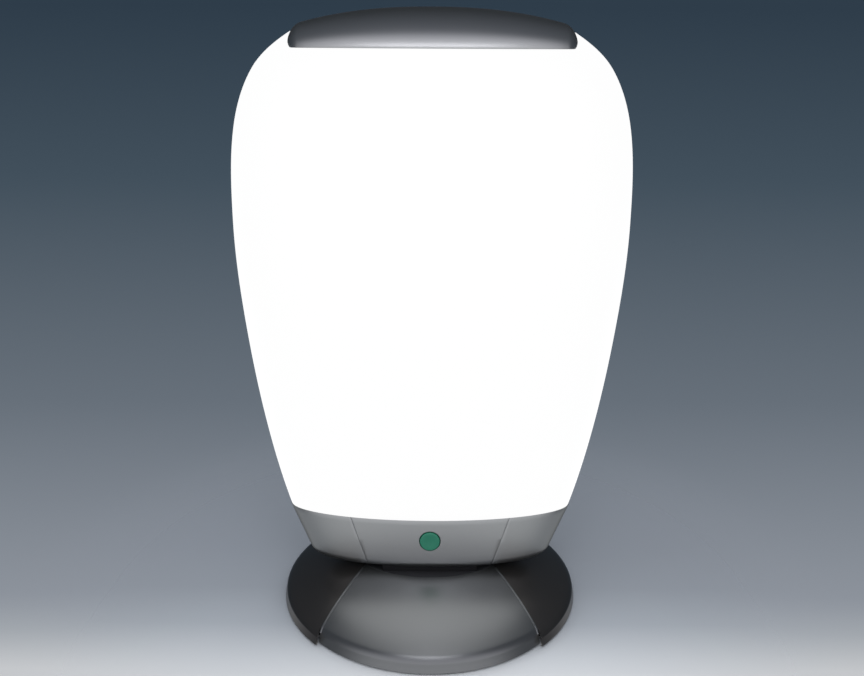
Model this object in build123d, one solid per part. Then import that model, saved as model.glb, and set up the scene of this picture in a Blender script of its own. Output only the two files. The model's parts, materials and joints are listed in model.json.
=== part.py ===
from build123d import *
import os
from math import cos, pi, radians, sin, sqrt

os.makedirs("parts", exist_ok=True)

# Light therapy lamp, in millimetres. +Z is up, -Y is the side that faces the user,
# and the origin is the middle of the surface that the foot stands on.

# ------------------------------------------------------------------ general fits
seat_gap = 0.3          # between covers that meet but aren't joined
seam_gap = 0.5          # visible line between neighbouring cover panels
slide_gap = 0.35        # round the button
running_fit = 0.05      # round the hinge pin and beside its washers
screw_fit = 0.1         # round a screw's shank
cut_reach = 5.0         # how far a cutting tool goes past the piece that it cuts
block_chamfer = 1.5     # on the edges of plain blocks

# ------------------------------------------------------------------ foot
foot_radius = 131.8
front_rim_inset = 4.0
rim_draft = 1.4
rim_shoulder_height = 8.5
rim_height = 13.0
rim_round = 6.3
rim_round_share = 0.28
foot_mid_radius = 92.0
foot_mid_height = 25.2
foot_crown_radius = 48.0
foot_crown_height = 33.0
foot_wall = 2.6
rubber_foot_height = 2.0
rubber_foot_radius = 9.0
rubber_foot_circle = 112.0
base_plate_thickness = 2.4
base_screw_circle = 108.0
base_screw_count = 6
boss_radius = 4.5
screw_radius = 1.5
screw_length = 8.0
screw_tip_gap = 1.0
screw_head_radius = 3.0
screw_slot_width = 0.8
screw_slot_length = 3.4
screw_slot_depth = 0.6
weight_radius = 97.0
weight_thickness = 7.0
seam_back = (52.5, -5.0)
seam_middle = (76.1, -54.0)
seam_front = (101.0, -108.0)
bead_width = 1.8
bead_height = 0.7

# ------------------------------------------------------------------ neck and tilt hinge
neck_half_width = 62.0
neck_half_depth = 38.5
neck_rim_width = 3.0
neck_rim_drop = 2.2
neck_tray_drop = 7.0
neck_wall = 2.4
tray_leg_radius = 3.2
tray_leg_offset = 4.5
pivot_height = 26.0
pin_radius = 4.0
eye_radius = 9.0
stem_half_width = 7.0
arm_inner_x = 22.0
arm_thickness = 3.0
washer_thickness = 0.9
washer_radius = 8.0
cheek_thickness = 3.0
bracket_half_depth = 19.0
bracket_plate = 3.0
hinge_screw_x = 11.0
hinge_screw_y = 7.0
hinge_screw_head = 1.6
pin_head_radius = 7.0
pin_head_thickness = 2.6
spring_washer_height = 1.4
spring_washer_inner_radius = 6.0
nut_across_flats = 13.0
nut_thickness = 5.0
pin_end_proud = 1.2
barrel_radius = 17.0
barrel_wall = 2.5
barrel_half_length = 42.5
barrel_open_angle = 58.0
barrel_gap = 0.6

# ------------------------------------------------------------------ lower collar
collar_base_z = 36.0
collar_top_z = 86.3
collar_base_half_width = 105.0
collar_base_half_depth = 32.5
collar_top_half_width = 124.6
collar_top_half_depth = 33.7
collar_wall = 2.5
collar_floor = 4.0
collar_edge_round = 9.0
collar_inner_round = 3.0
fascia_base_half_width = 53.6
fascia_top_half_width = 69.3
fascia_back_y = -17.0

# ------------------------------------------------------------------ button and switch
button_z = 65.3
button_radius = 8.7
button_proud = 0.9
button_dome = 0.8
button_flange_radius = 11.0
button_flange_thickness = 1.2
button_travel = 2.0
button_spring_room = 4.0
stem_radius = 3.0
stem_in_switch = 1.5
switch_half_width = 8.0
switch_height = 15.0
switch_depth = 13.0
switch_corner = 1.0
switch_socket_depth = 6.0
switch_bracket_margin = 2.0
spring_coil_radius = 4.6
spring_wire_radius = 0.45
spring_turns = 4

# ------------------------------------------------------------------ glowing head
shade_base_half_width = 124.0
shade_low_half_width = 143.4
shade_low_z = 169.7
shade_middle_half_width = 156.9
shade_middle_z = 267.5
shade_max_half_width = 161.1
shade_max_z = 342.0
shade_upper_half_width = 156.3
shade_upper_z = 415.0
shade_shoulder_half_width = 139.2
shade_shoulder_z = 460.4
shade_top_half_width = 109.0
shade_top_z = 487.0
depth_ratio_base = 0.283
depth_ratio_full = 0.36
depth_full_z = 300.0
shade_wall = 2.5
shade_lip_drop = 7.0
shade_lip_wall = 2.0
shell_seam_y = 12.0
form_sections = 7

# ------------------------------------------------------------------ top cap
cap_skirt_z = 475.0
cap_base_half_width = 127.0
cap_half_length = 109.0
cap_shoulder_x = 100.0
cap_shoulder_z = 493.7
cap_apex_z = 505.0
cap_fall_power = 2.3
cap_proud = 2.6
cap_wall = 2.0
cap_post_x = 50.0
cap_post_radius = 4.0

# ------------------------------------------------------------------ inside the head
sheet = 1.5
chassis_front_y = 10.0
chassis_half_width = 88.0
chassis_top_z = 476.0
chassis_flange = 12.0
yoke_plate = 3.0
yoke_half_width = 55.0
yoke_front_y = -12.0
yoke_back_y = 22.0
lamp_pitch = 84.0
lamp_count = 2
tube_radius = 8.75
tube_end_round = 5.25
tube_spacing = 21.5
lamp_length = 411.0
lamp_base_height = 24.0
lamp_base_half_width = 20.5
lamp_base_half_depth = 10.0
lamp_base_corner = 8.0
lamp_y = -2.0
lamp_seat_z = 60.0
holder_half_width = 22.5
holder_front_y = -14.0
holder_foot_z = 47.0
holder_collar = 6.0
clip_z = 400.0
clip_height = 10.0
clip_thickness = 1.4
reflector_sheet = 0.8
reflector_base_z = 92.0
reflector_top_z = 468.0
reflector_half_width = 104.0
reflector_ridge = 10.0
reflector_ridge_half_width = 8.0
reflector_flat_share = 0.8
reflector_wing = 15.0
driver_half_width = 34.0
driver_depth = 26.0
driver_base_z = 180.0
driver_height = 105.0
driver_tab_half_width = 9.0
driver_tab_length = 8.0
terminal_half_width = 18.0
terminal_depth = 13.0
terminal_base_z = 140.0
terminal_height = 12.0
terminal_count = 4
terminal_hole_radius = 2.0
terminal_hole_floor = 5.0
housing_boss_radius = 5.5
housing_boss_stations = ((72.0, 120.0), (80.0, 300.0), (72.0, 430.0))
housing_screw_head_radius = 3.1
housing_screw_radius = 1.6
housing_screw_length = 10.0
housing_screw_head_height = 2.2
vent_slot_width = 3.0
vent_slot_length = 26.0
vent_slot_pitch = 10.0
vent_slot_count = 9
vent_low_z = 122.0
vent_high_z = 452.0

# ------------------------------------------------------------------ mains inlet
inlet_z = 64.0
inlet_half_width = 15.0
inlet_half_height = 9.0
inlet_flange = 1.8
inlet_corner = 2.5
inlet_body_half_width = 12.0
inlet_body_half_height = 6.6
inlet_depth = 16.0
inlet_lobe_x = 4.73
inlet_socket_half_height = 4.4
inlet_waist_half_height = 3.8
inlet_socket_depth = 12.0
inlet_pin_radius = 1.2
inlet_pin_spacing = 8.6
inlet_pin_length = 9.0


def save(shape, name):
    export_step(shape, f"parts/{name}.step")


def box_between(low, high):
    size = [high[i] - low[i] for i in range(3)]
    middle = [(high[i] + low[i]) / 2 for i in range(3)]
    return Pos(*middle) * Box(*size)


def cylinder_between(radius, start, end):
    run = Vector(*end) - Vector(*start)
    plane = Plane(origin=start, z_dir=run)
    return extrude(plane * Circle(radius), run.length)


# ------------------------------------------------------------------ forms that several pieces share
def depth_ratio(z):
    climb = min(max((z - collar_top_z) / (depth_full_z - collar_top_z), 0), 1)
    return depth_ratio_base + (depth_ratio_full - depth_ratio_base) * (1 - cos(pi * climb)) / 2


def head_outline():
    points = (
        (shade_base_half_width, collar_top_z + seat_gap),
        (shade_low_half_width, shade_low_z),
        (shade_middle_half_width, shade_middle_z),
        (shade_max_half_width, shade_max_z),
        (shade_upper_half_width, shade_upper_z),
        (shade_shoulder_half_width, shade_shoulder_z),
        (shade_top_half_width, shade_top_z),
    )
    return Spline(*points, tangents=[(0.3, 1.0), (-1.0, 0.62)])


def head_form(inset):
    """The solid inside the head's outer surface, moved inwards by inset."""
    outline = head_outline()
    sections = []
    for i in range(form_sections):
        station = outline @ (i / (form_sections - 1))
        half_width, z = station.X, station.Y
        half_depth = half_width * depth_ratio(z)
        sections.append(Pos(0, 0, z) * Ellipse(half_width - inset, half_depth - inset))
    return loft(sections)


def ellipse_ring(outer, inner, low_z, high_z):
    ring = Pos(0, 0, low_z) * (Ellipse(*outer) - Ellipse(*inner))
    return extrude(ring, high_z - low_z)


def collar_form(inset, low_z, high_z):
    """The collar's taper, moved inwards by inset, between two heights."""
    sections = []
    for z in (low_z, high_z):
        share = (z - collar_base_z) / (collar_top_z - collar_base_z)
        half_width = collar_base_half_width + share * (collar_top_half_width - collar_base_half_width)
        half_depth = collar_base_half_depth + share * (collar_top_half_depth - collar_base_half_depth)
        sections.append(Pos(0, 0, z) * Ellipse(half_width - inset, half_depth - inset))
    return loft(sections, ruled=True)


def foot_form(rim_radius, inset):
    """The foot's solid of revolution, moved inwards by inset."""
    rim = (rim_radius - inset, rubber_foot_height)
    shoulder = (rim_radius - rim_draft - inset, rim_shoulder_height - inset)
    edge = (foot_radius - rim_round - inset, rim_height - inset)
    turn = (
        shoulder[0] - rim_round_share * (shoulder[0] - edge[0]),
        edge[1] - rim_round_share * (edge[1] - shoulder[1]),
    )
    middle = (foot_mid_radius - inset / 2, foot_mid_height - inset)
    crown = (foot_crown_radius, foot_crown_height - inset)
    axis_top = (0, foot_crown_height - inset)
    axis_base = (0, rubber_foot_height)
    profile = [
        Line(axis_base, rim),
        Line(rim, shoulder),
        ThreePointArc(shoulder, turn, edge),
        ThreePointArc(edge, middle, crown),
        Line(crown, axis_top),
        Line(axis_top, axis_base),
    ]
    return revolve(Plane.XZ * make_face(profile), Axis.Z)


def seam_region(widen):
    """The foot's front sector in plan, between its two curved seams."""
    back = (seam_back[0] + widen, seam_back[1] + widen)
    middle = (seam_middle[0] + widen, seam_middle[1])
    front = (seam_front[0] + widen, seam_front[1])
    mirrored = [(-x, y) for x, y in (back, middle, front)]
    far_y = -foot_radius - cut_reach
    edges = [
        ThreePointArc(back, middle, front),
        Line(front, (front[0], far_y)),
        Line((front[0], far_y), (mirrored[2][0], far_y)),
        Line((mirrored[2][0], far_y), mirrored[2]),
        ThreePointArc(mirrored[2], mirrored[1], mirrored[0]),
        Line(mirrored[0], back),
    ]
    return extrude(make_face(edges), foot_crown_height + bead_height + cut_reach)


def polar(radius, degrees):
    return radius * cos(radians(degrees)), radius * sin(radians(degrees))


base_plate_top = rubber_foot_height + base_plate_thickness
front_rim_radius = foot_radius - front_rim_inset
base_screws_at = [polar(base_screw_circle, 360 * i / base_screw_count) for i in range(base_screw_count)]
rubber_feet_at = [polar(rubber_foot_circle, 30 + 60 * turn) for turn in (0, 2, 3, 5)]
neck_opening = extrude(Ellipse(neck_half_width, neck_half_depth), 2 * foot_crown_height)


def foot_bosses(keep_front):
    """Screw bosses from the base plate up to the underside of the covers."""
    bosses = None
    for x, y in base_screws_at:
        is_front = y < seam_back[1]
        if is_front == keep_front:
            post = cylinder_between(boss_radius, (x, y, base_plate_top), (x, y, foot_crown_height))
            hole_top = base_plate_top + screw_length
            post -= cylinder_between(screw_radius + screw_fit, (x, y, 0), (x, y, hole_top))
            bosses = post if bosses is None else bosses + post
    return bosses & foot_form(front_rim_radius, foot_wall / 2)


def foot_front_panel():
    shell = foot_form(front_rim_radius, 0) - foot_form(front_rim_radius, foot_wall)
    shell = (shell & seam_region(-seam_gap / 2)) - neck_opening
    return shell + foot_bosses(True)


def foot_side_cover():
    strip = seam_region(seam_gap / 2 + bead_width) - seam_region(seam_gap / 2)
    outside = foot_form(foot_radius, 0) + (foot_form(foot_radius, -bead_height) & strip)
    shell = outside - foot_form(foot_radius, foot_wall) - seam_region(seam_gap / 2)
    shell = shell & box_between(
        (-foot_radius, -foot_radius, rubber_foot_height),
        (foot_radius, foot_radius, foot_crown_height + bead_height),
    )
    return shell - neck_opening + foot_bosses(False)


def base_plate():
    plate = Pos(0, 0, rubber_foot_height) * extrude(
        Circle(front_rim_radius - rim_draft - foot_wall - seat_gap), base_plate_thickness
    )
    for x, y in base_screws_at:
        plate -= cylinder_between(screw_radius + screw_fit, (x, y, 0), (x, y, base_plate_top))
        plate -= Pos(x, y, rubber_foot_height + screw_head_radius / 4) * Cone(
            screw_head_radius + screw_fit, screw_radius + screw_fit, screw_head_radius / 2
        )
    return plate


def base_screws():
    screws = []
    for x, y in base_screws_at:
        low = rubber_foot_height
        neck_z = low + screw_head_radius / 2
        head = Pos(x, y, (low + neck_z) / 2) * Cone(screw_head_radius, screw_radius, neck_z - low)
        tip_z = base_plate_top + screw_length - screw_tip_gap
        shank = cylinder_between(screw_radius, (x, y, neck_z), (x, y, tip_z))
        cross = Box(screw_slot_width, screw_slot_length, 2 * screw_slot_depth)
        slot = Pos(x, y, low) * (cross + Rot(0, 0, 90) * cross)
        screws.append(head + shank - slot)
    return Compound(screws)


def rubber_feet():
    pads = []
    for x, y in rubber_feet_at:
        pad = Pos(x, y, 0) * extrude(Circle(rubber_foot_radius), rubber_foot_height)
        pads.append(chamfer(pad.edges().group_by(Axis.Z)[0], rubber_foot_height / 3))
    return Compound(pads)


# ------------------------------------------------------------------ tilt hinge
weight_top = base_plate_top + weight_thickness
bracket_top = weight_top + bracket_plate
arm_outer_x = arm_inner_x + arm_thickness
cheek_inner_x = arm_outer_x + 2 * running_fit + washer_thickness
cheek_outer_x = cheek_inner_x + cheek_thickness
hinge_screws_at = [(i * hinge_screw_x, j * hinge_screw_y) for i in (-1, 1) for j in (-1, 1)]


def ballast_weight():
    disc = Pos(0, 0, base_plate_top) * extrude(Circle(weight_radius), weight_thickness)
    disc = chamfer(disc.edges().group_by(Axis.Z)[-1], block_chamfer)
    for x, y in hinge_screws_at:
        disc -= cylinder_between(screw_radius + screw_fit, (x, y, base_plate_top), (x, y, weight_top))
    return disc


def eye_plate(low_x, high_x, end_z, half_width):
    """A flat plate across X: an eye round the pin, and a stem from it to end_z."""
    eye = Pos(0, pivot_height) * Circle(eye_radius)
    stem_middle = (pivot_height + end_z) / 2
    stem = Pos(0, stem_middle) * Rectangle(2 * half_width, abs(end_z - pivot_height))
    plate = extrude(Plane.YZ * (eye + stem), high_x - low_x)
    return Pos(low_x, 0, 0) * plate


def pin_hole(half_length, fit):
    start, end = (-half_length, 0, pivot_height), (half_length, 0, pivot_height)
    return cylinder_between(pin_radius + fit, start, end)


def tilt_bracket():
    plate = box_between(
        (-cheek_outer_x, -bracket_half_depth, weight_top),
        (cheek_outer_x, bracket_half_depth, bracket_top),
    )
    for side in (-1, 1):
        low_x, high_x = sorted((side * cheek_inner_x, side * cheek_outer_x))
        plate += eye_plate(low_x, high_x, weight_top, eye_radius)
    plate -= pin_hole(cheek_outer_x + cut_reach, running_fit)
    for x, y in hinge_screws_at:
        plate -= cylinder_between(screw_radius + screw_fit, (x, y, weight_top), (x, y, bracket_top))
    return plate


def bracket_screws():
    screws = []
    for x, y in hinge_screws_at:
        tip = (x, y, base_plate_top + screw_tip_gap)
        shank = cylinder_between(screw_radius, tip, (x, y, bracket_top))
        head_top = (x, y, bracket_top + hinge_screw_head)
        head = cylinder_between(screw_head_radius, (x, y, bracket_top), head_top)
        screws.append(shank + head)
    return Compound(screws)


nut_face_x = cheek_outer_x + spring_washer_height
pin_end_x = nut_face_x + nut_thickness + pin_end_proud


def hinge_pin():
    head_face = (-cheek_outer_x, 0, pivot_height)
    head_end = (-cheek_outer_x - pin_head_thickness, 0, pivot_height)
    shaft = cylinder_between(pin_radius, head_face, (pin_end_x, 0, pivot_height))
    head = cylinder_between(pin_head_radius, head_end, head_face)
    return shaft + head


def friction_washers():
    washers = []
    for side in (-1, 1):
        near = (side * (cheek_inner_x - washer_thickness), 0, pivot_height)
        far = (side * cheek_inner_x, 0, pivot_height)
        disc = cylinder_between(washer_radius, near, far)
        washers.append(disc - pin_hole(cheek_outer_x, running_fit))
    return Compound(washers)


def spring_washer():
    start = Plane(origin=(cheek_outer_x, 0, pivot_height), z_dir=(1, 0, 0))
    middle = Pos(0, 0, spring_washer_height / 2)
    dish = start * middle * Cone(washer_radius, spring_washer_inner_radius, spring_washer_height)
    return dish - pin_hole(pin_end_x, running_fit)


def hinge_nut():
    face = Plane(origin=(nut_face_x, 0, pivot_height), z_dir=(1, 0, 0))
    nut = extrude(face * RegularPolygon(nut_across_flats / 2, 6, major_radius=False), nut_thickness)
    return nut - pin_hole(pin_end_x + cut_reach, running_fit)


def neck_tray():
    """Dark dished tray that closes the foot's opening round the barrel."""
    outer = (neck_half_width - seat_gap, neck_half_depth - seat_gap)
    inner = (outer[0] - neck_rim_width, outer[1] - neck_rim_width)
    tray_z = foot_crown_height - neck_tray_drop
    tray = ellipse_ring(outer, inner, tray_z - neck_wall, foot_crown_height - neck_rim_drop)
    tray += Pos(0, 0, tray_z - neck_wall) * extrude(Ellipse(*inner), neck_wall)
    slot_x = barrel_half_length + barrel_gap
    slot_y = barrel_radius + barrel_gap
    tray -= box_between((-slot_x, -slot_y, 0), (slot_x, slot_y, foot_crown_height))
    for side in (-1, 1):
        leg_x = side * (slot_x + tray_leg_offset)
        leg_top = tray_z - neck_wall / 2
        tray += cylinder_between(tray_leg_radius, (leg_x, 0, weight_top), (leg_x, 0, leg_top))
    return tray


def neck_barrel():
    """Drum round the hinge, fixed under the collar, that turns in the tray."""
    drum = extrude(Plane.YZ * Circle(barrel_radius), barrel_half_length, both=True)
    bore = Circle(barrel_radius - barrel_wall)
    hollow = extrude(Plane.YZ * bore, barrel_half_length - barrel_wall, both=True)
    reach = 2 * barrel_radius
    spread = radians(barrel_open_angle)
    corner = (reach * sin(spread), -reach * cos(spread))
    wedge = make_face(Polyline((0, 0), (-corner[0], corner[1]), (0, -2 * reach), corner, close=True))
    opening = extrude(Plane.YZ * wedge, barrel_half_length, both=True)
    drum = Pos(0, 0, pivot_height) * (drum - hollow - opening)
    keep = box_between((-reach * 2, -reach, 0), (reach * 2, reach, collar_base_z))
    return drum & keep


def head_yoke():
    """Plate over the collar's floor with two arms down to the hinge pin."""
    plate_base = collar_base_z + collar_floor
    plate = box_between(
        (-yoke_half_width, yoke_front_y, plate_base),
        (yoke_half_width, yoke_back_y, plate_base + yoke_plate),
    )
    for side in (-1, 1):
        low_x, high_x = sorted((side * arm_inner_x, side * arm_outer_x))
        plate += eye_plate(low_x, high_x, plate_base + yoke_plate / 2, stem_half_width)
    return plate - pin_hole(arm_outer_x + cut_reach, running_fit)


# ------------------------------------------------------------------ collar
def fascia_region(widen):
    """The part of the collar between its two seams, seen from the front."""
    base, top = fascia_base_half_width + widen, fascia_top_half_width + widen
    slope = (top - base) / (collar_top_z - collar_base_z)
    low_z, high_z = collar_base_z - cut_reach, collar_top_z + cut_reach
    low_x, high_x = base - cut_reach * slope, top + cut_reach * slope
    outline = Polyline((-low_x, low_z), (low_x, low_z), (high_x, high_z), (-high_x, high_z), close=True)
    front_y = -collar_top_half_depth - cut_reach
    prism = extrude(Plane.XZ * make_face(outline), -front_y)
    return prism & box_between((-high_x, front_y, low_z), (high_x, fascia_back_y + widen, high_z))


def collar_tub():
    outside = collar_form(0, collar_base_z, collar_top_z)
    outside = fillet(outside.edges().group_by(Axis.Z)[0], collar_edge_round)
    inside = collar_form(collar_wall, collar_base_z + collar_floor, collar_top_z)
    return outside - fillet(inside.edges().group_by(Axis.Z)[0], collar_inner_round)


button_hole_radius = button_radius + slide_gap


def collar_front_y(z):
    share = (z - collar_base_z) / (collar_top_z - collar_base_z)
    return -(collar_base_half_depth + share * (collar_top_half_depth - collar_base_half_depth))


button_face_y = collar_front_y(button_z)
button_inner_y = button_face_y + collar_wall


def collar_fascia():
    fascia = collar_tub() & fascia_region(-seam_gap / 2)
    near = (0, button_face_y - cut_reach, button_z)
    far = (0, button_inner_y + cut_reach, button_z)
    return fascia - cylinder_between(button_hole_radius, near, far)


def collar_shell():
    shell = collar_tub() - fascia_region(seam_gap / 2)
    for side in (-1, 1):
        low_x, high_x = sorted((side * (arm_inner_x - seat_gap), side * (arm_outer_x + seat_gap)))
        reach = stem_half_width + seat_gap
        floor_top = collar_base_z + collar_floor
        shell -= box_between((low_x, -reach, collar_base_z), (high_x, reach, floor_top))
    shell -= box_between(
        (-inlet_body_half_width - seat_gap, 0, inlet_z - inlet_body_half_height - seat_gap),
        (inlet_body_half_width + seat_gap, inlet_face_y, inlet_z + inlet_body_half_height + seat_gap),
    )
    shell -= box_between(
        (-inlet_half_width - seat_gap, inlet_face_y, inlet_z - inlet_half_height - seat_gap),
        (inlet_half_width + seat_gap, inlet_face_y + cut_reach, inlet_z + inlet_half_height + seat_gap),
    )
    return shell


# ------------------------------------------------------------------ button and switch
flange_face_y = button_inner_y + seat_gap
flange_back_y = flange_face_y + button_flange_thickness
switch_face_y = flange_back_y + button_travel + button_spring_room
switch_back_y = switch_face_y + switch_depth


def power_button():
    front_y = button_face_y - button_proud
    cap = cylinder_between(button_radius, (0, front_y, button_z), (0, flange_back_y, button_z))
    cap = fillet(cap.edges().group_by(Axis.Y)[0], button_dome)
    flange_face = (0, flange_face_y, button_z)
    flange = cylinder_between(button_flange_radius, flange_face, (0, flange_back_y, button_z))
    stem_end = (0, switch_face_y + stem_in_switch, button_z)
    stem = cylinder_between(stem_radius, (0, flange_back_y, button_z), stem_end)
    return cap + flange + stem


def button_spring():
    """Return spring between the button's flange and the switch, a coil of square wire."""
    start_y = flange_back_y + seat_gap + spring_wire_radius
    end_y = switch_face_y - seat_gap - spring_wire_radius
    height = end_y - start_y
    path = Helix(height / spring_turns, height, spring_coil_radius)
    wire = 2 * spring_wire_radius
    section = Plane(path @ 0, z_dir=path % 0) * Rectangle(wire, wire)
    coil = sweep(section, path, is_frenet=True)
    return Plane(origin=(0, start_y, button_z), z_dir=(0, 1, 0)) * coil


def power_switch():
    body = box_between(
        (-switch_half_width, switch_face_y, button_z - switch_height / 2),
        (switch_half_width, switch_back_y, button_z + switch_height / 2),
    )
    body = chamfer(body.edges().filter_by(Axis.Y), switch_corner)
    socket_floor = (0, switch_face_y + switch_socket_depth, button_z)
    return body - cylinder_between(stem_radius + slide_gap, (0, switch_face_y, button_z), socket_floor)


def switch_bracket():
    plate_z = collar_base_z + collar_floor + yoke_plate
    half_width = switch_half_width + switch_bracket_margin
    upright = box_between(
        (-half_width, switch_back_y, plate_z),
        (half_width, switch_back_y + sheet, button_z + switch_height / 2),
    )
    foot = box_between(
        (-half_width, switch_back_y, plate_z),
        (half_width, chassis_front_y - seat_gap, plate_z + sheet),
    )
    return upright + foot


# ------------------------------------------------------------------ shade, rear housing and cap
def head_shell():
    shell = head_form(0) - head_form(shade_wall)
    base_z = collar_top_z + seat_gap
    lip_inset = collar_wall + seat_gap
    lip_taken = lip_inset + shade_lip_wall
    lip_inner = (collar_top_half_width - lip_taken, collar_top_half_depth - lip_taken)
    shade_base_half_depth = shade_base_half_width * depth_ratio_base
    shelf_outer = (shade_base_half_width - shade_wall / 2, shade_base_half_depth - shade_wall / 2)
    shelf = ellipse_ring(shelf_outer, lip_inner, base_z, base_z + shade_lip_wall)
    lip = collar_form(lip_inset, base_z - shade_lip_drop, base_z)
    lip -= collar_form(lip_inset + shade_lip_wall, base_z - shade_lip_drop, base_z)
    return shell + shelf + lip


def side_of_seam(front):
    reach = 2 * shade_max_half_width
    low_y = -reach if front else shell_seam_y + seat_gap / 2
    high_y = shell_seam_y - seat_gap / 2 if front else reach
    return box_between((-reach, low_y, 0), (reach, high_y, cap_apex_z))


def front_diffuser():
    return head_shell() & side_of_seam(True)


chassis_back_y = chassis_front_y + sheet
housing_well_y = chassis_back_y + housing_screw_length
housing_bosses_at = [(side * x, z) for x, z in housing_boss_stations for side in (-1, 1)]


def rear_housing():
    housing = head_shell() & side_of_seam(False)
    core = head_form(shade_wall / 2)
    reach = shade_max_half_width
    for x, z in housing_bosses_at:
        housing += cylinder_between(housing_boss_radius, (x, chassis_back_y, z), (x, reach, z)) & core
    for x, z in housing_bosses_at:
        well_floor = (x, housing_well_y, z)
        housing -= cylinder_between(housing_screw_head_radius + 2 * screw_fit, well_floor, (x, reach, z))
        housing -= cylinder_between(housing_screw_radius + screw_fit, (x, chassis_back_y, z), well_floor)
    first_x = -vent_slot_pitch * (vent_slot_count - 1) / 2
    for base_z in (vent_low_z, vent_high_z):
        for i in range(vent_slot_count):
            x = first_x + i * vent_slot_pitch
            low = (x - vent_slot_width / 2, shell_seam_y + shade_wall, base_z - vent_slot_length / 2)
            high = (x + vent_slot_width / 2, reach, base_z + vent_slot_length / 2)
            housing -= box_between(low, high)
    return housing


def housing_screws():
    screws = []
    for x, z in housing_bosses_at:
        head_top = housing_well_y + housing_screw_head_height
        head = cylinder_between(housing_screw_head_radius, (x, housing_well_y, z), (x, head_top, z))
        shank = cylinder_between(housing_screw_radius, (x, chassis_back_y, z), (x, housing_well_y, z))
        screws.append(head + shank)
    return Compound(screws)


def cap_arch(x, inset):
    """Half-ellipse section of the cap across X."""
    drop = (cap_apex_z - cap_shoulder_z) * (abs(x) / cap_shoulder_x) ** cap_fall_power
    height = cap_apex_z - drop - inset - cap_skirt_z
    narrowing = sqrt(1 - (x / cap_base_half_width) ** 2)
    half_depth = cap_base_half_width * depth_ratio_full * narrowing + cap_proud - inset
    arch = EllipticalCenterArc((0, cap_skirt_z), half_depth, height, start_angle=0, arc_size=180)
    return Plane(origin=(x, 0, 0), x_dir=(0, 1, 0), z_dir=(1, 0, 0)) * make_face(
        [arch, Line((-half_depth, cap_skirt_z), (half_depth, cap_skirt_z))]
    )


def cap_form(half_length, inset):
    stations = [half_length * share for share in (-1, -0.8, -0.5, -0.2, 0.2, 0.5, 0.8, 1)]
    return loft([cap_arch(x, inset) for x in stations])


def top_cap():
    outside = cap_form(cap_half_length, 0)
    cap = outside - cap_form(cap_half_length - cap_wall, cap_wall)
    cap -= head_form(-seat_gap)
    for side in (-1, 1):
        x = side * cap_post_x
        post_foot = (x, 0, chassis_top_z + sheet + seat_gap)
        post = cylinder_between(cap_post_radius, post_foot, (x, 0, cap_apex_z))
        cap += post & cap_form(cap_half_length, cap_wall / 2)
    return cap


# ------------------------------------------------------------------ inside the head
chassis_base_z = collar_base_z + collar_floor + yoke_plate


def chassis_plate():
    panel = box_between(
        (-chassis_half_width, chassis_front_y, chassis_base_z),
        (chassis_half_width, chassis_back_y, chassis_top_z + sheet),
    )
    foot = box_between(
        (-yoke_half_width, chassis_front_y, chassis_base_z),
        (yoke_half_width, yoke_back_y, chassis_base_z + sheet),
    )
    head = box_between(
        (-yoke_half_width, chassis_front_y - chassis_flange, chassis_top_z),
        (yoke_half_width, chassis_back_y, chassis_top_z + sheet),
    )
    return panel + foot + head


lamp_names = ("left", "right")
lamps_at = [(i - (lamp_count - 1) / 2) * lamp_pitch for i in range(lamp_count)]
lamp_base_top = lamp_seat_z + lamp_base_height


def lamp_tube(x):
    """Twin glass tube, joined near the top by a short bridge."""
    tube_top = lamp_seat_z + lamp_length
    tube = None
    for side in (-1, 1):
        limb_x = x + side * tube_spacing / 2
        limb = cylinder_between(tube_radius, (limb_x, lamp_y, lamp_base_top), (limb_x, lamp_y, tube_top))
        limb = fillet(limb.edges().group_by(Axis.Z)[-1], tube_end_round)
        tube = limb if tube is None else tube + limb
    bridge_z = tube_top - 2 * tube_radius
    reach = tube_spacing / 2
    start, end = (x - reach, lamp_y, bridge_z), (x + reach, lamp_y, bridge_z)
    bridge = cylinder_between(tube_radius / 2, start, end)
    return tube + bridge


def lamp_base(x):
    body = box_between(
        (x - lamp_base_half_width, lamp_y - lamp_base_half_depth, lamp_seat_z),
        (x + lamp_base_half_width, lamp_y + lamp_base_half_depth, lamp_base_top),
    )
    return fillet(body.edges().filter_by(Axis.Z), lamp_base_corner)


def lamp_holder(x):
    """Push-in holder: a block with a shallow well for the lamp's base."""
    block = box_between(
        (x - holder_half_width, holder_front_y, holder_foot_z),
        (x + holder_half_width, chassis_front_y, lamp_seat_z + holder_collar),
    )
    well = box_between(
        (x - lamp_base_half_width - seat_gap, lamp_y - lamp_base_half_depth - seat_gap, lamp_seat_z),
        (x + lamp_base_half_width + seat_gap, lamp_y + lamp_base_half_depth + seat_gap, lamp_base_top),
    )
    return block - well


def lamp_clips():
    clips = []
    reach = tube_spacing / 2 + tube_radius + seat_gap
    for x in lamps_at:
        back_y = chassis_front_y - reflector_sheet
        outer = box_between(
            (x - reach - clip_thickness, lamp_y, clip_z),
            (x + reach + clip_thickness, back_y, clip_z + clip_height),
        )
        inner = box_between(
            (x - reach, lamp_y, clip_z),
            (x + reach, back_y - clip_thickness, clip_z + clip_height),
        )
        clips.append(outer - inner)
    return Compound(clips)


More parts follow.
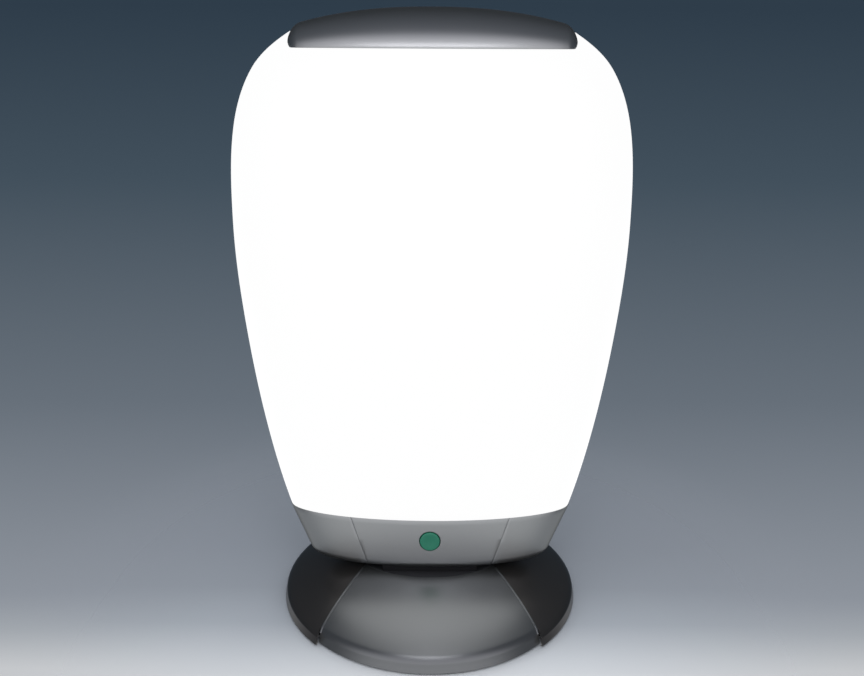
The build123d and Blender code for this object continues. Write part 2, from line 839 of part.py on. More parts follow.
def reflector():
    """Bright sheet folded into a trough behind each lamp."""
    back_y = chassis_front_y
    trough = lamp_pitch / 2
    edge_x = lamps_at[-1] + trough * reflector_flat_share
    points = [(-reflector_half_width, back_y - reflector_wing), (-edge_x, back_y)]
    for i in range(lamp_count - 1):
        ridge_x = lamps_at[i] + trough
        points.append((ridge_x - reflector_ridge_half_width, back_y))
        points.append((ridge_x, back_y - reflector_ridge))
        points.append((ridge_x + reflector_ridge_half_width, back_y))
    points += [(edge_x, back_y), (reflector_half_width, back_y - reflector_wing)]
    front = [(x, y - reflector_sheet) for x, y in reversed(points)]
    face = make_face(Polyline(*points, *front, close=True))
    return Pos(0, 0, reflector_base_z) * extrude(face, reflector_top_z - reflector_base_z)


def electronic_driver():
    body = box_between(
        (-driver_half_width, chassis_back_y, driver_base_z),
        (driver_half_width, chassis_back_y + driver_depth, driver_base_z + driver_height),
    )
    body = chamfer(body.edges().group_by(Axis.Y)[-1], block_chamfer)
    for low_z in (driver_base_z - driver_tab_length, driver_base_z + driver_height):
        body += box_between(
            (-driver_tab_half_width, chassis_back_y, low_z),
            (driver_tab_half_width, chassis_back_y + sheet, low_z + driver_tab_length),
        )
    return body


def terminal_block():
    body = box_between(
        (-terminal_half_width, chassis_back_y, terminal_base_z),
        (terminal_half_width, chassis_back_y + terminal_depth, terminal_base_z + terminal_height),
    )
    pitch = 2 * terminal_half_width / terminal_count
    z = terminal_base_z + terminal_height / 2
    for i in range(terminal_count):
        x = (i - (terminal_count - 1) / 2) * pitch
        floor = (x, chassis_back_y + terminal_hole_floor, z)
        mouth = (x, chassis_back_y + terminal_depth, z)
        body -= cylinder_between(terminal_hole_radius, floor, mouth)
    return body


# ------------------------------------------------------------------ mains inlet
inlet_face_y = -collar_front_y(inlet_z)
inlet_pins_at = [side * inlet_pin_spacing / 2 for side in (-1, 1)]
inlet_socket_floor_y = inlet_face_y + inlet_flange - inlet_socket_depth


def power_inlet():
    """Two-pole inlet: a flange outside the collar and a socket body inside it."""
    flange = box_between(
        (-inlet_half_width, inlet_face_y, inlet_z - inlet_half_height),
        (inlet_half_width, inlet_face_y + inlet_flange, inlet_z + inlet_half_height),
    )
    flange = fillet(flange.edges().filter_by(Axis.Y), inlet_corner)
    body = box_between(
        (-inlet_body_half_width, inlet_face_y - inlet_depth, inlet_z - inlet_body_half_height),
        (inlet_body_half_width, inlet_face_y, inlet_z + inlet_body_half_height),
    )
    mouth_y = inlet_face_y + inlet_flange
    socket = box_between(
        (-inlet_lobe_x, inlet_socket_floor_y, inlet_z - inlet_waist_half_height),
        (inlet_lobe_x, mouth_y, inlet_z + inlet_waist_half_height),
    )
    for x in (-inlet_lobe_x, inlet_lobe_x):
        floor = (x, inlet_socket_floor_y, inlet_z)
        socket += cylinder_between(inlet_socket_half_height, floor, (x, mouth_y, inlet_z))
    return flange + body - socket


def inlet_pins():
    pins = []
    for x in inlet_pins_at:
        foot = (x, inlet_socket_floor_y, inlet_z)
        tip = (x, inlet_socket_floor_y + inlet_pin_length, inlet_z)
        pins.append(cylinder_between(inlet_pin_radius, foot, tip))
    return Compound(pins)


pieces = {
    "rubber_feet": rubber_feet,
    "base_plate": base_plate,
    "base_screws": base_screws,
    "ballast_weight": ballast_weight,
    "foot_front_panel": foot_front_panel,
    "foot_side_cover": foot_side_cover,
    "neck_tray": neck_tray,
    "tilt_bracket": tilt_bracket,
    "bracket_screws": bracket_screws,
    "hinge_pin": hinge_pin,
    "friction_washers": friction_washers,
    "spring_washer": spring_washer,
    "hinge_nut": hinge_nut,
    "neck_barrel": neck_barrel,
    "head_yoke": head_yoke,
    "collar_shell": collar_shell,
    "collar_fascia": collar_fascia,
    "power_button": power_button,
    "button_spring": button_spring,
    "power_switch": power_switch,
    "switch_bracket": switch_bracket,
    "front_diffuser": front_diffuser,
    "rear_housing": rear_housing,
    "housing_screws": housing_screws,
    "top_cap": top_cap,
    "chassis_plate": chassis_plate,
    "reflector": reflector,
    "lamp_clips": lamp_clips,
    "electronic_driver": electronic_driver,
    "terminal_block": terminal_block,
    "power_inlet": power_inlet,
    "inlet_pins": inlet_pins,
}

for name, make in pieces.items():
    save(make(), name)

for name, x in zip(lamp_names, lamps_at):
    save(lamp_tube(x), f"lamp_tube_{name}")
    save(lamp_base(x), f"lamp_base_{name}")
    save(lamp_holder(x), f"lamp_holder_{name}")
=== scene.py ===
import json
import math

import bpy
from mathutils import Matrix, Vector
from mathutils.geometry import interpolate_bezier


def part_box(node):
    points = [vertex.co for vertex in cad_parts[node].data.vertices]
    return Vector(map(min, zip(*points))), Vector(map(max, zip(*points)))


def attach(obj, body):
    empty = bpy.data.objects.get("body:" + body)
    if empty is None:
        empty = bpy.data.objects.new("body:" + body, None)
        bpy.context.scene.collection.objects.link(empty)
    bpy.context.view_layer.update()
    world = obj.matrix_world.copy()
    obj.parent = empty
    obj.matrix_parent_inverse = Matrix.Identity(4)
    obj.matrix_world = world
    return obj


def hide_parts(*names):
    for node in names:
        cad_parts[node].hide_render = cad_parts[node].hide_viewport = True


# Light therapy lamp, in metres. +Z is up and -Y is the side that faces the user.

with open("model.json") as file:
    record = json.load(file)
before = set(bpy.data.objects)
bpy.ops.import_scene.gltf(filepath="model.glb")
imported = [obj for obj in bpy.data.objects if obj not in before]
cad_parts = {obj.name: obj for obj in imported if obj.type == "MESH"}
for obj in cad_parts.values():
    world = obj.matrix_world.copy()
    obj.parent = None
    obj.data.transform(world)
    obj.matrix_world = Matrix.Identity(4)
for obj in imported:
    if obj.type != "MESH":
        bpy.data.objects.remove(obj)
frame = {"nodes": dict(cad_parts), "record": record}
bpy.ops.object.select_all(action="DESELECT")
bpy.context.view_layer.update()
mm = 0.001

# ------------------------------------------------------------------ sizes taken from the frame
foot_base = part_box("foot_side_cover")[0].z
foot_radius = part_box("foot_side_cover")[1].x
front_rim_radius = -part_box("foot_front_panel")[0].y
foot_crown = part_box("foot_front_panel")[1].z
collar_low, collar_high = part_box("collar_shell")
fascia_low, fascia_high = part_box("collar_fascia")
shade_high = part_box("front_diffuser")[1]
housing_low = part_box("rear_housing")[0]
cap_low, cap_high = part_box("top_cap")
button_low, button_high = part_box("power_button")
screw_face_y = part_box("housing_screws")[1].y

# ------------------------------------------------------------------ sizes of the shapes between them
seam_gap = 0.5 * mm
wall = 2.5 * mm
skin_edge = 0.4 * mm
hair = 0.01 * mm  # slack when points and faces are picked by their place
cutter_length = 60 * mm  # long enough to pass through the rear housing

head_gap = 0.3 * mm
head_base = collar_high.z + head_gap
head_half_width = shade_high.x
# The outline from the collar to the cap, as shares of the half width and of the height.
head_profile = (
    (0.7697, 0.0), (0.8901, 0.2075), (0.9739, 0.4518), (1.0, 0.6379),
    (0.9702, 0.8202), (0.8641, 0.9336), (0.6766, 1.0),
)
head_base_lean = (0.3, 1.0)
head_top_lean = (-1.0, 0.62)
# The head's depth as a share of its width, at the collar and from its full depth up.
depth_share_base = 0.283
depth_share_full = 0.36
full_depth_z = 300 * mm
head_sides = 144
head_steps = 10
shell_seam_y = (shade_high.y + housing_low.y) / 2

collar_base_half_width = 105 * mm
collar_base_half_depth = 32.5 * mm
collar_top_half_width = collar_high.x
collar_top_half_depth = -fascia_low.y
collar_round = 9 * mm
collar_sides = 144
collar_round_steps = 10
collar_wall_steps = 8
fascia_base_half_width = 53.6 * mm
fascia_top_half_width = fascia_high.x + seam_gap / 2
fascia_seam = 0.26 * mm

foot_sides = 192
foot_wall = 1.8 * mm
rim_draft = 1.4 * mm
rim_shoulder = 8.5 * mm
rim_height = 13 * mm
rim_round = 6.3 * mm
front_rim_round = 4.4 * mm
rim_steps = 10
foot_middle = (92 * mm, 25.2 * mm)
foot_crown_radius = 48 * mm
dome_steps = 40
neck_half_width = 62 * mm
neck_half_depth = 38.5 * mm
neck_edge = 0.4 * mm
neck_edge_height = 1.5 * mm
neck_edge_steps = 4
neck_cutter_rise = 5 * mm
neck_sides = 96
# The right seam's rear end, middle and front end, seen from above.
foot_seam = ((52.5 * mm, -5 * mm), (76.1 * mm, -54 * mm), (101 * mm, -108 * mm))
seam_steps = 28
seam_cutter_base = -20 * mm
seam_cutter_height = 80 * mm
seam_cutter_front = -foot_radius * 1.2
seam_cutter_sliver = 0.001  # how flat its first strip is pressed
bead_radius = 1.1 * mm
bead_sunk = 0.3 * mm
bead_inset = bead_radius * 0.6
bead_start = neck_half_width * 0.98
bead_steps = 40

button_z = (button_low.z + button_high.z) / 2
button_radius = 8.7 * mm
button_gap = 0.35 * mm
button_edge = 0.8 * mm
button_dish = 0.35 * mm
button_proud = 0.9 * mm
button_stem_radius = 3 * mm
button_flange_radius = 11 * mm
button_flange_front = 3.5 * mm  # behind the face, as the next one
button_flange_rear = 4.7 * mm
button_sides = 72
button_edge_steps = 5
button_dish_steps = 8
hole_depth = 12 * mm
hole_flare = 0.9 * mm
hole_mouth = hole_flare * 1.6
hole_mouth_rise = 0.6 * mm

cap_half_length = cap_high.x
cap_fall = 11.3 * mm
cap_fall_at = 100 * mm
cap_fall_power = 2.3
cap_end_round = 9 * mm
cap_end_steps = 8
cap_steps = 32
cap_sides = 96
cap_corner = 4 * mm
cap_proud = 2.6 * mm
cap_wall = 2 * mm
cap_gap = 0.2 * mm

screw_places = [(side * x * mm, z * mm) for x, z in ((72, 120), (80, 300), (72, 430)) for side in (-1, 1)]
screw_radius = 3.1 * mm
screw_head_height = 2.2 * mm
screw_rim_height = 1.1 * mm
screw_crown_round = 0.9 * mm
screw_shank_radius = 1.6 * mm
screw_shank_length = 8 * mm
screw_sides = 32
screw_edge_steps = 4
screw_seat_y = screw_face_y - screw_head_height
recess_length = 3.6 * mm
recess_width = 0.75 * mm
recess_turn = 0.5  # radians from one screw to the next
screw_well_radius = 3.3 * mm
boss_radius = 5.5 * mm
vent_width = 3 * mm
vent_round = vent_width * 0.48
vent_length = 26 * mm
vent_pitch = 10 * mm
vent_count = 9
vent_heights = (122 * mm, 452 * mm)
vent_cutter_y = 52 * mm

smooth_below = 32  # degrees between two faces that are shaded as one


# ------------------------------------------------------------------ working by hand
def take(piece):
    bpy.ops.object.select_all(action="DESELECT")
    piece.select_set(True)
    bpy.context.view_layer.objects.active = piece
    return piece


def seat(piece):
    """Puts the piece's place, turn and scale into its mesh."""
    take(piece)
    bpy.ops.object.transform_apply(location=True, rotation=True, scale=True)
    return piece


def settle(name):
    """Names and seats the piece in hand."""
    piece = bpy.context.object
    piece.name = piece.data.name = name
    return seat(piece)


def edit(piece):
    take(piece)
    bpy.ops.object.mode_set(mode="EDIT")
    bpy.ops.mesh.select_mode(type="VERT")
    bpy.ops.mesh.select_all(action="SELECT")


def leave():
    bpy.ops.object.mode_set(mode="OBJECT")
    return bpy.context.object


def choose(piece, elements, wanted):
    """In edit mode, selects the vertices or faces whose place passes the test."""
    bpy.ops.mesh.select_mode(type=elements)
    bpy.ops.mesh.select_all(action="DESELECT")
    bpy.ops.object.mode_set(mode="OBJECT")
    for item in piece.data.vertices if elements == "VERT" else piece.data.polygons:
        item.select = wanted(item.co if elements == "VERT" else item.center)
    bpy.ops.object.mode_set(mode="EDIT")


def outward(piece):
    edit(piece)
    bpy.ops.mesh.remove_doubles(threshold=1e-7)
    bpy.ops.mesh.normals_make_consistent(inside=False)
    return leave()


def apply(piece, kind, **settings):
    """Adds one modifier and applies it."""
    take(piece)
    modifier = piece.modifiers.new(kind.title(), kind)
    for name, value in settings.items():
        setattr(modifier, name, value)
    bpy.ops.object.modifier_apply(modifier=modifier.name)
    return piece


def thicken(piece, depth):
    return apply(piece, "SOLIDIFY", thickness=depth, offset=-1, use_even_offset=True)


def soften(piece, width, segments=2, limit=50):
    return apply(piece, "BEVEL", width=width, segments=segments, limit_method="ANGLE",
                 angle_limit=math.radians(limit))


def carve(piece, tool, operation="DIFFERENCE", keep=False, folded=False):
    """Cuts, joins or trims the piece with a tool, which is then put away."""
    apply(piece, "BOOLEAN", operation=operation, object=tool, solver="EXACT", use_self=folded)
    if not keep:
        bpy.data.objects.remove(tool)
    return piece


def copy_of(piece, name):
    made = piece.copy()
    made.data = piece.data.copy()
    made.name = made.data.name = name
    bpy.context.scene.collection.objects.link(made)
    return made


def joined(name, pieces):
    bpy.ops.object.select_all(action="DESELECT")
    for piece in pieces:
        piece.select_set(True)
    bpy.context.view_layer.objects.active = pieces[0]
    bpy.ops.object.join()
    return settle(name)


def raise_rings(name, rings, sides, ends=""):
    """A wall raised ring by ring: each ring is (half width, half depth, height)."""
    width, depth, z = rings[0]
    bpy.ops.mesh.primitive_circle_add(vertices=sides, radius=width, location=(0, 0, z))
    piece = settle(name)
    edit(piece)
    bpy.ops.transform.resize(value=(1, depth / width, 1), center_override=(0, 0, z))
    for next_width, next_depth, next_z in rings[1:]:
        bpy.ops.mesh.extrude_edges_move(TRANSFORM_OT_translate={"value": (0, 0, next_z - z)})
        bpy.ops.transform.resize(
            value=(next_width / width, next_depth / depth, 1), center_override=(0, 0, next_z)
        )
        width, depth, z = next_width, next_depth, next_z
    if "top" in ends:
        bpy.ops.mesh.edge_face_add()
    if "base" in ends:
        bpy.ops.mesh.select_all(action="DESELECT")
        bpy.ops.object.mode_set(mode="OBJECT")
        for vertex in piece.data.vertices[:sides]:
            vertex.select = True
        bpy.ops.object.mode_set(mode="EDIT")
        bpy.ops.mesh.edge_face_add()
    leave()
    return outward(piece)


def turned(name, profile, sides, place=(0, 0, 0), turn=(0, 0, 0)):
    """A round solid from its profile of (radius, height), turned to its axis and put in place."""
    piece = raise_rings(name, [(radius, radius, z) for radius, z in profile], sides, "base top")
    piece.rotation_euler = turn
    piece.location = place
    return seat(piece)


def smooth_line(knots, start_lean, end_lean, steps):
    """Points on a smooth line through the knots, each given as (across, up)."""
    knots = [Vector(knot) for knot in knots]
    leans = [Vector(start_lean).normalized()]
    leans += [(knots[i + 1] - knots[i - 1]).normalized() for i in range(1, len(knots) - 1)]
    leans += [Vector(end_lean).normalized()]
    line = []
    for i in range(len(knots) - 1):
        reach = (knots[i + 1] - knots[i]).length / 3
        near = knots[i] + leans[i] * reach
        far = knots[i + 1] - leans[i + 1] * reach
        line += interpolate_bezier(knots[i], near, far, knots[i + 1], steps + 1)[:-1]
    return line + [knots[-1]]


def arc_through(start, middle, end, steps):
    """Points on the arc through three points of a plane."""
    (ax, ay), (bx, by), (cx, cy) = start, middle, end
    twice = 2 * (ax * (by - cy) + bx * (cy - ay) + cx * (ay - by))
    a2, b2, c2 = ax * ax + ay * ay, bx * bx + by * by, cx * cx + cy * cy
    mid_x = (a2 * (by - cy) + b2 * (cy - ay) + c2 * (ay - by)) / twice
    mid_y = (a2 * (cx - bx) + b2 * (ax - cx) + c2 * (bx - ax)) / twice
    radius = math.hypot(ax - mid_x, ay - mid_y)
    first = math.atan2(ay - mid_y, ax - mid_x)
    sweep = (math.atan2(cy - mid_y, cx - mid_x) - first + math.pi) % (2 * math.pi) - math.pi
    angles = [first + sweep * i / steps for i in range(steps + 1)]
    return [(mid_x + radius * math.cos(angle), mid_y + radius * math.sin(angle)) for angle in angles]


def quarter(steps):
    """Sine and cosine from 0 to 90 degrees."""
    angles = [math.pi / 2 * i / steps for i in range(steps + 1)]
    return [(math.sin(angle), math.cos(angle)) for angle in angles]


# ------------------------------------------------------------------ forms
def head_line():
    height = shade_high.z - head_base
    knots = [(share * head_half_width, head_base + up * height) for share, up in head_profile]
    return smooth_line(knots, head_base_lean, head_top_lean, head_steps)


def depth_share(z):
    climb = min(max((z - collar_high.z) / (full_depth_z - collar_high.z), 0), 1)
    return depth_share_base + (depth_share_full - depth_share_base) * (1 - math.cos(math.pi * climb)) / 2


def head_rings(grow=0):
    return [(x + grow, x * depth_share(z) + grow, z) for x, z in head_line()]


def head_half_width_at(height):
    above = [(x, z) for x, z in head_line() if z >= height]
    below = [(x, z) for x, z in head_line() if z < height]
    (x1, z1), (x0, z0) = above[0], below[-1]
    return x0 + (x1 - x0) * (height - z0) / (z1 - z0)


def foot_line(rim_radius, rounding):
    """The foot's profile from the rim's lower edge to the crown."""
    base = Vector((rim_radius, foot_base))
    shoulder = Vector((rim_radius - rim_draft, rim_shoulder))
    middle = Vector((rim_radius - rim_draft / 2, (foot_base + rim_shoulder) / 2))
    rim_top, crown_edge = (foot_radius - rim_round, rim_height), (foot_crown_radius, foot_crown)
    dome = [Vector(place) for place in arc_through(rim_top, foot_middle, crown_edge, dome_steps)]
    dome = [place for place in dome if place.x < rim_radius - rounding + hair]
    lean = (dome[0] - dome[1]).normalized()
    corner = dome[0] + lean * (shoulder.x - dome[0].x) / lean.x
    near = shoulder.lerp(corner, 0.5)
    far = dome[0].lerp(corner, 0.5)
    turn = interpolate_bezier(shoulder, near, far, dome[0], rim_steps + 1)[:-1]
    return [base, middle] + turn + dome + [Vector((foot_crown_radius / 2, foot_crown))]


def foot_height(radius):
    """Height of the foot's upper surface at a distance from its axis."""
    line = foot_line(front_rim_radius, front_rim_round)[::-1]
    for (inner, high), (outer, low) in zip(line, line[1:]):
        if inner <= radius <= outer:
            return high + (low - high) * (radius - inner) / (outer - inner)
    return foot_crown if radius < foot_crown_radius else foot_base


# ------------------------------------------------------------------ head
def head_skin(name, clear_rear):
    """One half of the head's shell, in front of the seam between the two or behind it."""
    skin = raise_rings(name, head_rings(), head_sides)
    edit(skin)
    side = -1 if clear_rear else 1
    bpy.ops.mesh.bisect(
        plane_co=(0, shell_seam_y + side * seam_gap / 2, 0), plane_no=(0, 1, 0),
        clear_outer=clear_rear, clear_inner=not clear_rear,
    )
    leave()
    return soften(thicken(skin, wall), skin_edge)


def vent_tool():
    """Rows of slots with round ends, as one cutter."""
    bpy.ops.mesh.primitive_cube_add(size=1)
    slot = bpy.context.object
    slot.scale = (vent_width, cutter_length, vent_length)
    slot = settle("slot_tool")
    soften(slot, vent_round, segments=4, limit=80)
    slots = []
    first_x = -vent_pitch * (vent_count - 1) / 2
    for height in vent_heights:
        for i in range(vent_count):
            made = copy_of(slot, "slot")
            made.location = (first_x + i * vent_pitch, vent_cutter_y, height)
            slots.append(seat(made))
    bpy.data.objects.remove(slot)
    return joined("vent_tool", slots)


def make_housing():
    """The rear shell with its screw bosses and wells and two rows of vents."""
    housing = head_skin("rear_shell", False)
    rearward = (-math.pi / 2, 0, 0)
    boss_y = shell_seam_y + seam_gap
    core = raise_rings("core", head_rings(-wall / 2), head_sides, "base top")
    for x, z in screw_places:
        profile = ((boss_radius, 0), (boss_radius, cutter_length))
        boss = turned("boss", profile, screw_sides, (x, boss_y, z), rearward)
        carve(boss, core, "INTERSECT", keep=True)
        carve(housing, boss, "UNION")
    bpy.data.objects.remove(core)
    for x, z in screw_places:
        profile = ((screw_well_radius, 0), (screw_well_radius, cutter_length))
        carve(housing, turned("well", profile, screw_sides, (x, screw_seat_y, z), rearward))
    return carve(housing, vent_tool())


def make_screws():
    """Pan-head screws with a cross recess, at the bottom of the housing's wells."""
    profile = [(screw_shank_radius, -screw_shank_length), (screw_shank_radius, 0)]
    profile += [(screw_radius, 0), (screw_radius, screw_rim_height)]
    for s, c in quarter(screw_edge_steps)[1:]:
        crown = (screw_head_height - screw_rim_height) * s
        profile.append((screw_radius - screw_crown_round * (1 - c), screw_rim_height + crown))
    pattern = turned("screw", profile, screw_sides)
    for turn in (0, math.pi / 2):
        bpy.ops.mesh.primitive_cube_add(size=1, location=(0, 0, screw_head_height), rotation=(0, 0, turn))
        bpy.context.object.scale = (recess_length, recess_width, screw_head_height)
        carve(pattern, settle("blade"))
    screws = []
    for index, (x, z) in enumerate(screw_places):
        screw = copy_of(pattern, f"screw_{index}")
        screw.rotation_mode = "ZXY"
        screw.rotation_euler = (-math.pi / 2, recess_turn * index, 0)
        screw.location = (x, screw_seat_y, z)
        screws.append(seat(screw))
    bpy.data.objects.remove(pattern)
    return joined("shell_screws", screws)


def make_cap():
    """Arches from end to end over a flat skirt, with rounded ends and lower corners."""
    skirt_half_width = head_half_width_at(cap_low.z)

    def arch(x, shrink):
        from_end = cap_half_length - abs(x)
        lift = cap_corner - math.sqrt(cap_corner ** 2 - max(cap_corner - from_end, 0) ** 2)
        top = cap_high.z - cap_fall * (abs(x) / cap_fall_at) ** cap_fall_power - shrink
        depth = skirt_half_width * depth_share_full * math.sqrt(1 - (x / skirt_half_width) ** 2)
        return x, depth + cap_proud - shrink, cap_low.z + lift, top

    straight = cap_half_length - cap_end_round
    left_end = [
        arch(-straight - cap_end_round * c, cap_end_round * (1 - s)) for s, c in quarter(cap_end_steps)
    ]
    middle = [arch(-straight + 2 * straight * i / cap_steps, 0) for i in range(1, cap_steps)]
    arches = left_end + middle + [(-x, depth, low, top) for x, depth, low, top in left_end[::-1]]

    x, depth, low, top = arches[0]
    bpy.ops.mesh.primitive_circle_add(
        vertices=cap_sides, radius=depth, location=(x, 0, low), rotation=(0, math.pi / 2, 0)
    )
    cap = settle("cap_cover")
    edit(cap)
    choose(cap, "VERT", lambda co: co.z < low - hair)
    bpy.ops.mesh.delete(type="VERT")
    bpy.ops.mesh.select_all(action="SELECT")
    bpy.ops.transform.resize(value=(1, 1, (top - low) / depth), center_override=(x, 0, low))
    for next_x, next_depth, next_low, next_top in arches[1:]:
        bpy.ops.mesh.extrude_edges_move(TRANSFORM_OT_translate={"value": (next_x - x, 0, next_low - low)})
        bpy.ops.transform.resize(
            value=(1, next_depth / depth, (next_top - next_low) / (top - low)),
            center_override=(next_x, 0, next_low),
        )
        x, depth, low, top = next_x, next_depth, next_low, next_top
    bpy.ops.mesh.edge_face_add()
    choose(cap, "VERT", lambda co: co.x < -cap_half_length + hair)
    bpy.ops.mesh.edge_face_add()
    leave()
    outward(cap)
    soften(thicken(cap, cap_wall), skin_edge, limit=60)
    core = raise_rings("core", head_rings(cap_gap), head_sides, "base top")
    return carve(cap, core)


# ------------------------------------------------------------------ collar
def collar_rings():
    """The collar's skin from the edge of its floor, round the lower edge and up to the top."""
    height = collar_high.z - collar_low.z
    width_climb = (collar_top_half_width - collar_base_half_width) / height
    depth_climb = (collar_top_half_depth - collar_base_half_depth) / height

    def ring(rise, inset=0):
        return (
            collar_base_half_width + width_climb * rise - inset,
            collar_base_half_depth + depth_climb * rise - inset,
            collar_low.z + rise,
        )

    corner = [ring(collar_round * (1 - c), collar_round * (1 - s)) for s, c in quarter(collar_round_steps)]
    climb = (height - collar_round) / collar_wall_steps
    return corner + [ring(collar_round + climb * i) for i in range(1, collar_wall_steps + 1)]


def button_hole_tool():
    """Cuts the button's hole with a rounded edge."""
    hole_radius = button_radius + button_gap
    profile = [(hole_radius, -hole_depth), (hole_radius, -hole_flare)]
    for s, c in quarter(button_edge_steps)[1:]:
        profile.append((hole_radius + hole_flare * (1 - c), -hole_flare * (1 - s)))
    profile.append((hole_radius + hole_mouth, hole_mouth_rise))
    place = (0, button_low.y + button_proud, button_z)
    return turned("hole_tool", profile, button_sides, place, (math.pi / 2, 0, 0))


def make_collar():
    """The collar's body, and its front fascia between two slanting seams."""
    body = raise_rings("collar_body", collar_rings(), collar_sides, "base")
    slope = (fascia_top_half_width - fascia_base_half_width) / (collar_high.z - collar_low.z)

    def from_seam(place):
        return abs(place.x) - fascia_base_half_width - (place.z - collar_low.z) * slope

    def on_wall(place):
        return place.y < -collar_base_half_depth / 2 and place.z > collar_low.z + hair

    edit(body)
    for side in (-1, 1):
        for edge in (-fascia_seam / 2, fascia_seam / 2):
            choose(body, "FACE", on_wall)
            bpy.ops.mesh.bisect(
                plane_co=(side * (fascia_base_half_width + edge), 0, collar_low.z), plane_no=(-side, 0, slope)
            )
    choose(body, "FACE", lambda place: on_wall(place) and abs(from_seam(place)) < fascia_seam / 2)
    bpy.ops.mesh.delete(type="FACE")
    choose(body, "FACE", lambda place: on_wall(place) and from_seam(place) < 0)
    bpy.ops.mesh.separate(type="SELECTED")
    leave()
    fascia = [piece for piece in bpy.context.selected_objects if piece != body][0]
    take(fascia)
    fascia = settle("collar_front")
    for skin in (body, fascia):
        soften(thicken(skin, wall), skin_edge)
    return body, carve(fascia, button_hole_tool())


def make_button():
    """A round key with a soft edge and a shallow dish for the finger."""
    face = button_high.y - button_low.y
    rear, front = face - button_flange_rear, face - button_flange_front
    profile = [(button_stem_radius, 0), (button_stem_radius, rear)]
    profile += [(button_flange_radius, rear), (button_flange_radius, front)]
    profile += [(button_radius, front), (button_radius, face - button_edge)]
    for s, c in quarter(button_edge_steps)[1:]:
        profile.append((button_radius - button_edge * (1 - c), face - button_edge * (1 - s)))
    inner = button_radius - button_edge
    for step in range(1, button_dish_steps):
        share = step / button_dish_steps
        profile.append((inner * (1 - share), face - button_dish * math.sin(math.pi / 2 * share) ** 2))
    return turned("push_button", profile, button_sides, (0, button_high.y, button_z), (math.pi / 2, 0, 0))


# ------------------------------------------------------------------ foot
def seam_tool(widen):
    """The front sector between the foot's two curved seams, as a tall block."""
    line = arc_through(*foot_seam, seam_steps) + [(foot_seam[2][0], seam_cutter_front)]
    x, y = line[0]
    x += widen
    bpy.ops.mesh.primitive_plane_add(size=2 * x, location=(0, y + x, seam_cutter_base))
    tool = settle("seam_tool")
    edit(tool)
    bpy.ops.transform.resize(value=(1, seam_cutter_sliver, 1), center_override=(0, y, seam_cutter_base))
    choose(tool, "VERT", lambda co: co.y < y + hair)
    for next_x, next_y in line[1:]:
        next_x += widen
        bpy.ops.mesh.extrude_edges_move(TRANSFORM_OT_translate={"value": (0, next_y - y, 0)})
        bpy.ops.transform.resize(value=(next_x / x, 1, 1), center_override=(0, next_y, 0))
        x, y = next_x, next_y
    bpy.ops.mesh.select_all(action="SELECT")
    bpy.ops.mesh.extrude_region_move(TRANSFORM_OT_translate={"value": (0, 0, seam_cutter_height)})
    leave()
    return outward(tool)


def foot_skin(name, rim_radius, rounding):
    rings = [(radius, radius, z) for radius, z in foot_line(rim_radius, rounding)]
    return thicken(raise_rings(name, rings, foot_sides), foot_wall)


def neck_tool():
    """The neck's oval opening, with a soft upper edge."""
    low = foot_crown - neck_edge_height
    rings = [(neck_half_width, neck_half_depth, 0), (neck_half_width, neck_half_depth, low)]
    for s, c in quarter(neck_edge_steps)[1:]:
        grow = neck_edge * (1 - c)
        rings.append((neck_half_width + grow, neck_half_depth + grow, low + neck_edge_height * s))
    rings.append((neck_half_width + neck_edge, neck_half_depth + neck_edge, foot_crown + neck_cutter_rise))
    return raise_rings("neck_tool", rings, neck_sides, "base top")


def seam_bead(side):
    """A fine half-round ridge along the front panel's edge, over the seam."""
    points = []
    for x, y in arc_through(*foot_seam, bead_steps):
        along = Vector((x - seam_gap / 2 - bead_inset, y))
        if bead_start < along.length < front_rim_radius - rim_draft - bead_sunk:
            points.append((side * along.x, along.y, foot_height(along.length) - bead_sunk))
    line = bpy.data.curves.new("bead", "CURVE")
    line.dimensions = "3D"
    line.bevel_depth = bead_radius
    line.bevel_resolution = 3
    line.use_fill_caps = True
    spline = line.splines.new("POLY")
    spline.points.add(len(points) - 1)
    for point, place in zip(spline.points, points):
        point.co = (*place, 1)
    bead = bpy.data.objects.new("bead", line)
    bpy.context.scene.collection.objects.link(bead)
    take(bead)
    bpy.ops.object.convert(target="MESH")
    return outward(bpy.context.object)


def make_foot():
    """The front panel with a bead along each seam, and the cover round its sides and rear."""
    front = foot_skin("foot_front", front_rim_radius, front_rim_round)
    carve(front, seam_tool(-seam_gap / 2), "INTERSECT", folded=True)
    cover = foot_skin("foot_cover", foot_radius, rim_round)
    carve(cover, seam_tool(seam_gap / 2))
    for side in (-1, 1):
        carve(front, seam_bead(side), "UNION")
    opening = neck_tool()
    carve(front, opening, keep=True)
    carve(cover, opening)
    return front, cover


# ------------------------------------------------------------------ finishes
cloud_scale = 14.0
fine_share = 0.55  # of the grain in a finish's colour, beside the broad clouds
glow_front = (252, 252, 252)
glow_rear = (236, 238, 241)
glow_even_y = -6 * mm  # in front of this the glow is even
edge_tint = (0.12, 0.12, 0.12, 1)  # keeps the metallic coat dark where one looks along it


